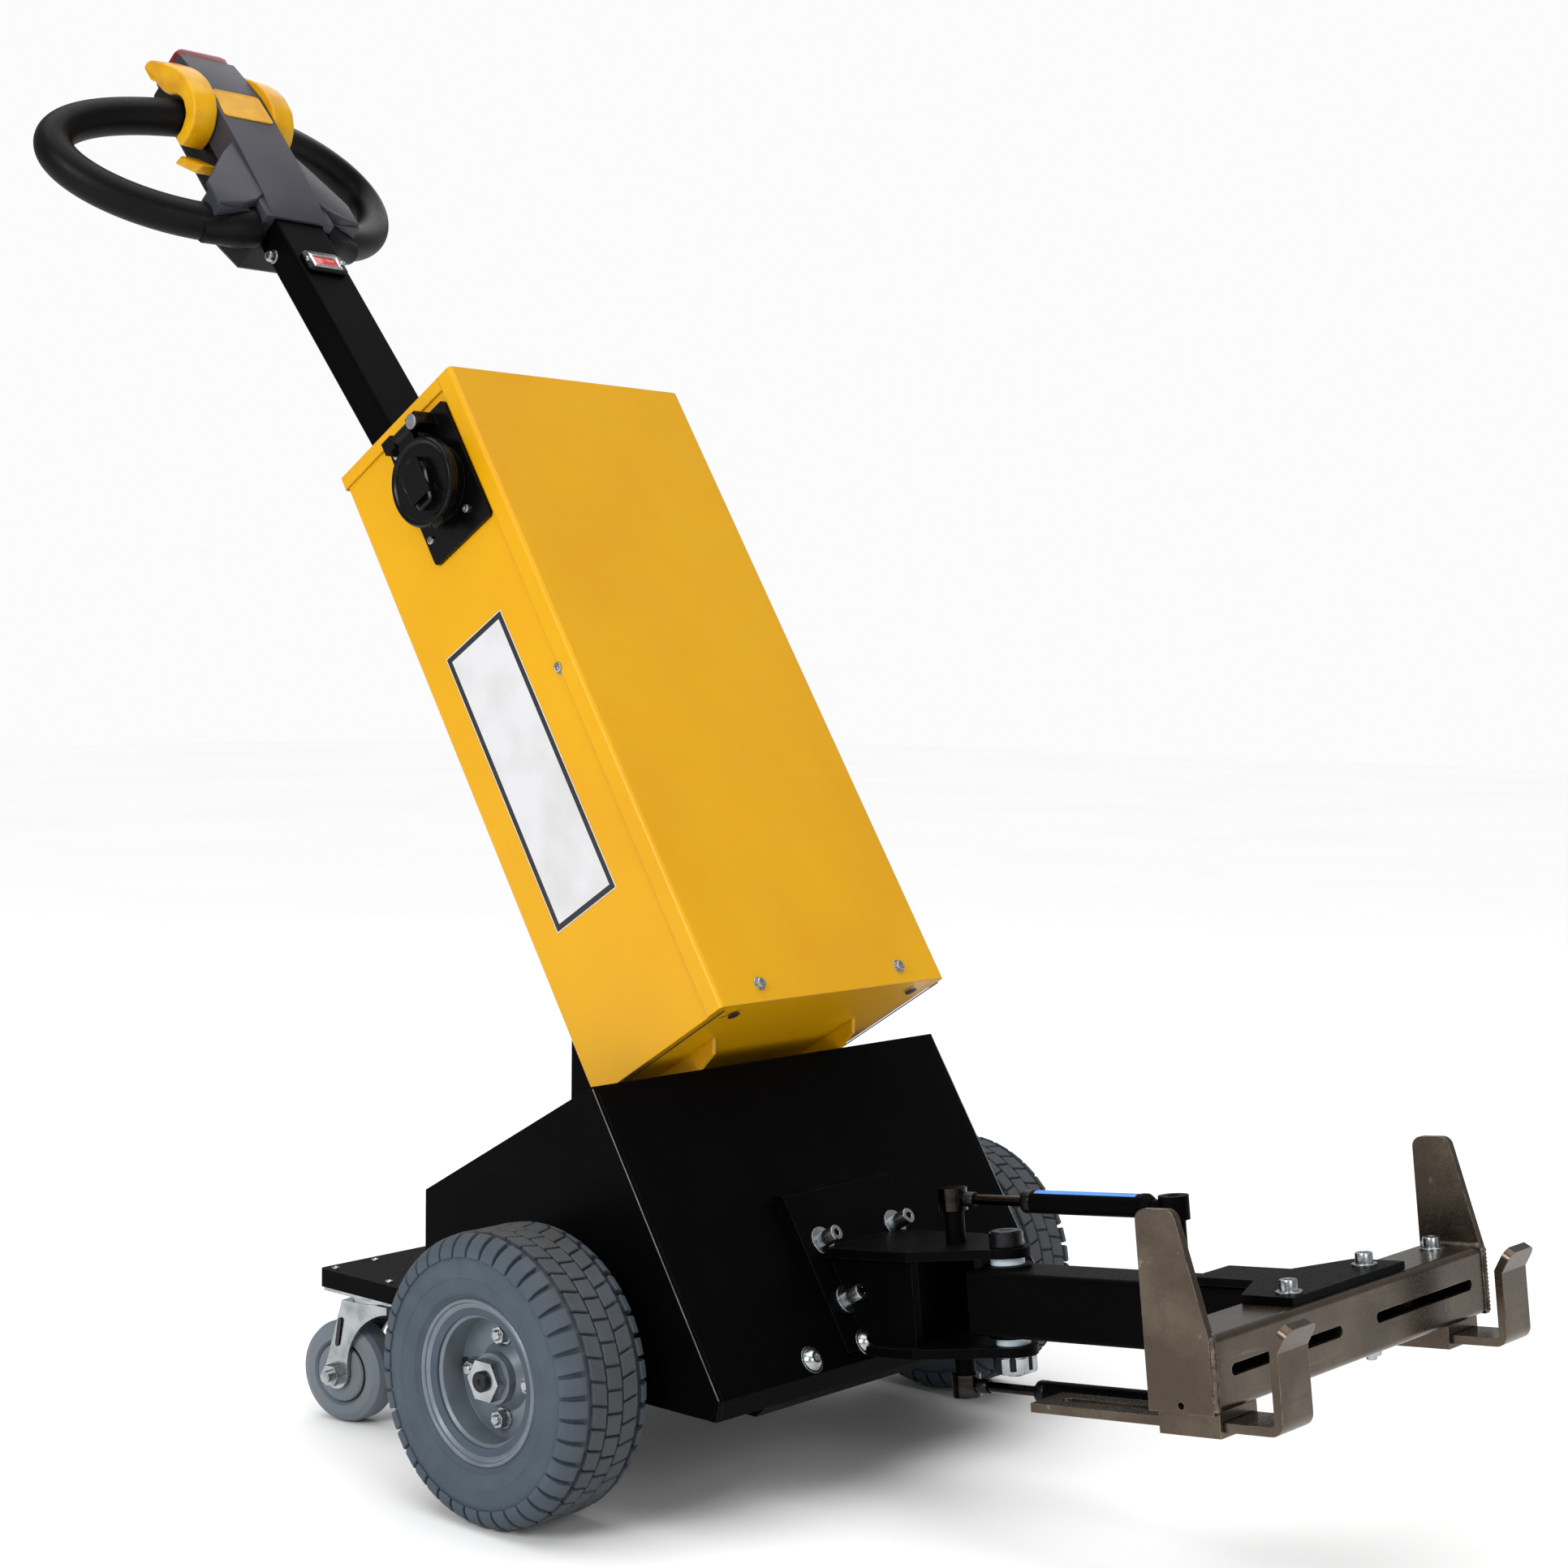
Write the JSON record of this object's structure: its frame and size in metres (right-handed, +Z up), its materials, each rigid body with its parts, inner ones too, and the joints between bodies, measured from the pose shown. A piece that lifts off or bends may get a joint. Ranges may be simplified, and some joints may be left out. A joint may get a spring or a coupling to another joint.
{
  "type": "electric tow tug",
  "caption": "Walk-behind battery tow tug with a leaning battery box, loop handle, grey drive wheels, rear casters and a swinging hooked tow arm.",
  "frame": {"origin": "on the floor under the middle of the whole machine", "axes": "+X forward towards the tow arm, +Y to the left of the tug, +Z up"},
  "size_m": [1.449, 0.636, 1.2897],
  "materials": {
    "black_powder_coat": "black powder coat",
    "yellow_paint": "yellow gloss paint",
    "battery": "plain block at a battery density",
    "black_plastic": "moulded black plastic",
    "slate_plastic": "moulded slate plastic",
    "yellow_plastic": "moulded yellow plastic",
    "red_plastic": "moulded dark red plastic",
    "cast_aluminium": "cast",
    "motor_steel": "painted steel",
    "zinc": "bright zinc plate",
    "tyre_grey": "grey non-marking rubber",
    "rim_grey": "grey paint",
    "caster_grey": "light grey rubber",
    "black_steel": "black oxide",
    "white_nylon": "white nylon",
    "raw_steel": "raw hot rolled steel, oiled"
  },
  "bodies": {
    "chassis": {"side_plates": "black_powder_coat", "front_plate": "black_powder_coat", "rear_cover": "black_powder_coat", "belly_pan": "black_powder_coat", "rear_platform": "black_powder_coat", "cradle": "black_powder_coat", "tiller_bracket": "black_powder_coat", "tiller_tube": "black_powder_coat", "hitch_bracket": "black_powder_coat", "box_shell": "yellow_paint", "box_front_cover": "yellow_paint", "box_top_cap": "yellow_paint", "box_bottom_plate": "yellow_paint", "box_gussets": "yellow_paint", "battery_pack": "battery", "inlet_plate": "black_plastic", "head_base": "black_plastic", "handle_loop": "black_plastic", "head_cover": "slate_plastic", "thumb_wings": "yellow_plastic", "horn_buttons": "yellow_plastic", "belly_switch": "red_plastic", "transaxle": "cast_aluminium", "drive_motor": "motor_steel", "axle_bearings": "zinc", "caster_plates": "zinc", "hitch_pin": "black_steel"},
    "lid": {"inlet_lid": "black_plastic"},
    "drive_wheel_left": {"drive_tyre_left": "tyre_grey", "drive_rim_left": "rim_grey", "drive_axle_left": "zinc"},
    "drive_wheel_right": {"drive_tyre_right": "tyre_grey", "drive_rim_right": "rim_grey", "drive_axle_right": "zinc"},
    "caster_left": {"caster_fork_left": "zinc"},
    "caster_right": {"caster_fork_right": "zinc"},
    "caster_wheel_left": {"caster_wheel_left": "caster_grey"},
    "caster_wheel_right": {"caster_wheel_right": "caster_grey"},
    "arm": {"tow_arm": "black_powder_coat", "nylon_washers": "white_nylon", "tee_plate": "black_powder_coat", "cross_beam": "raw_steel", "uprights": "raw_steel", "hooks": "raw_steel", "hook_guides": "raw_steel"},
    "gas_cylinder_upper": {"gas_cylinder_upper": "black_powder_coat"},
    "gas_cylinder_lower": {"gas_cylinder_lower": "black_powder_coat"},
    "gas_rod_upper": {"gas_rod_upper": "zinc"},
    "gas_rod_lower": {"gas_rod_lower": "zinc"}
  },
  "joints": [
    {"name": "drive_wheel_left_spin", "type": "hinge", "parent": "chassis", "child": "drive_wheel_left", "pos_m": [0.09898, 0.274, 0.1143], "axis": [0, 1, 0], "continuous": true},
    {"name": "drive_wheel_right_spin", "type": "hinge", "parent": "chassis", "child": "drive_wheel_right", "pos_m": [0.09898, -0.274, 0.1143], "axis": [0, 1, 0], "continuous": true},
    {"name": "caster_left_swivel", "type": "hinge", "parent": "chassis", "child": "caster_left", "pos_m": [-0.16902, 0.182, 0.1], "axis": [0, 0, 1], "continuous": true},
    {"name": "caster_left_roll", "type": "hinge", "parent": "caster_left", "child": "caster_wheel_left", "pos_m": [-0.2025, 0.1879, 0.0445], "axis": [0.1736, 0.9848, 0], "continuous": true},
    {"name": "caster_right_swivel", "type": "hinge", "parent": "chassis", "child": "caster_right", "pos_m": [-0.16902, -0.182, 0.1], "axis": [0, 0, 1], "continuous": true},
    {"name": "caster_right_roll", "type": "hinge", "parent": "caster_right", "child": "caster_wheel_right", "pos_m": [-0.2025, -0.1879, 0.0445], "axis": [-0.1736, 0.9848, 0], "continuous": true},
    {"name": "arm_swing", "type": "hinge", "parent": "chassis", "child": "arm", "pos_m": [0.37298, 0, 0.171], "axis": [-0.1132, 0, 0.9936], "range_deg": [-40, 40], "stiffness_Nm_per_rad": 12},
    {"name": "gas_spring_upper_turn", "type": "hinge", "parent": "arm", "child": "gas_cylinder_upper", "pos_m": [0.52218, 0, 0.266], "axis": [-0.1132, 0, 0.9936], "range_deg": [-12, 12]},
    {"name": "gas_spring_upper_slide", "type": "slide", "parent": "gas_cylinder_upper", "child": "gas_rod_upper", "axis": [0.9936, 0, 0.1132], "range_m": [0, 0.0092], "stiffness_N_per_m": 150, "springref_m": -0.05},
    {"name": "gas_spring_lower_turn", "type": "hinge", "parent": "arm", "child": "gas_cylinder_lower", "pos_m": [0.53888, 0, 0.11945], "axis": [-0.1132, 0, 0.9936], "range_deg": [-12, 12]},
    {"name": "gas_spring_lower_slide", "type": "slide", "parent": "gas_cylinder_lower", "child": "gas_rod_lower", "axis": [0.9936, 0, 0.1132], "range_m": [0, 0.0092], "stiffness_N_per_m": 150, "springref_m": -0.05},
    {"name": "lid_hinge", "type": "hinge", "parent": "chassis", "child": "lid", "pos_m": [-0.17192, -0.15825, 0.85992], "axis": [-0.8467, 0, -0.5321], "range_deg": [0, 110], "stiffness_Nm_per_rad": 0.05, "springref_deg": -34.38}
  ],
  "couplings": [
    {"joint": "gas_spring_upper_turn", "follows": "arm_swing", "ratio": -0.235},
    {"joint": "gas_spring_lower_turn", "follows": "arm_swing", "ratio": -0.235}
  ]
}
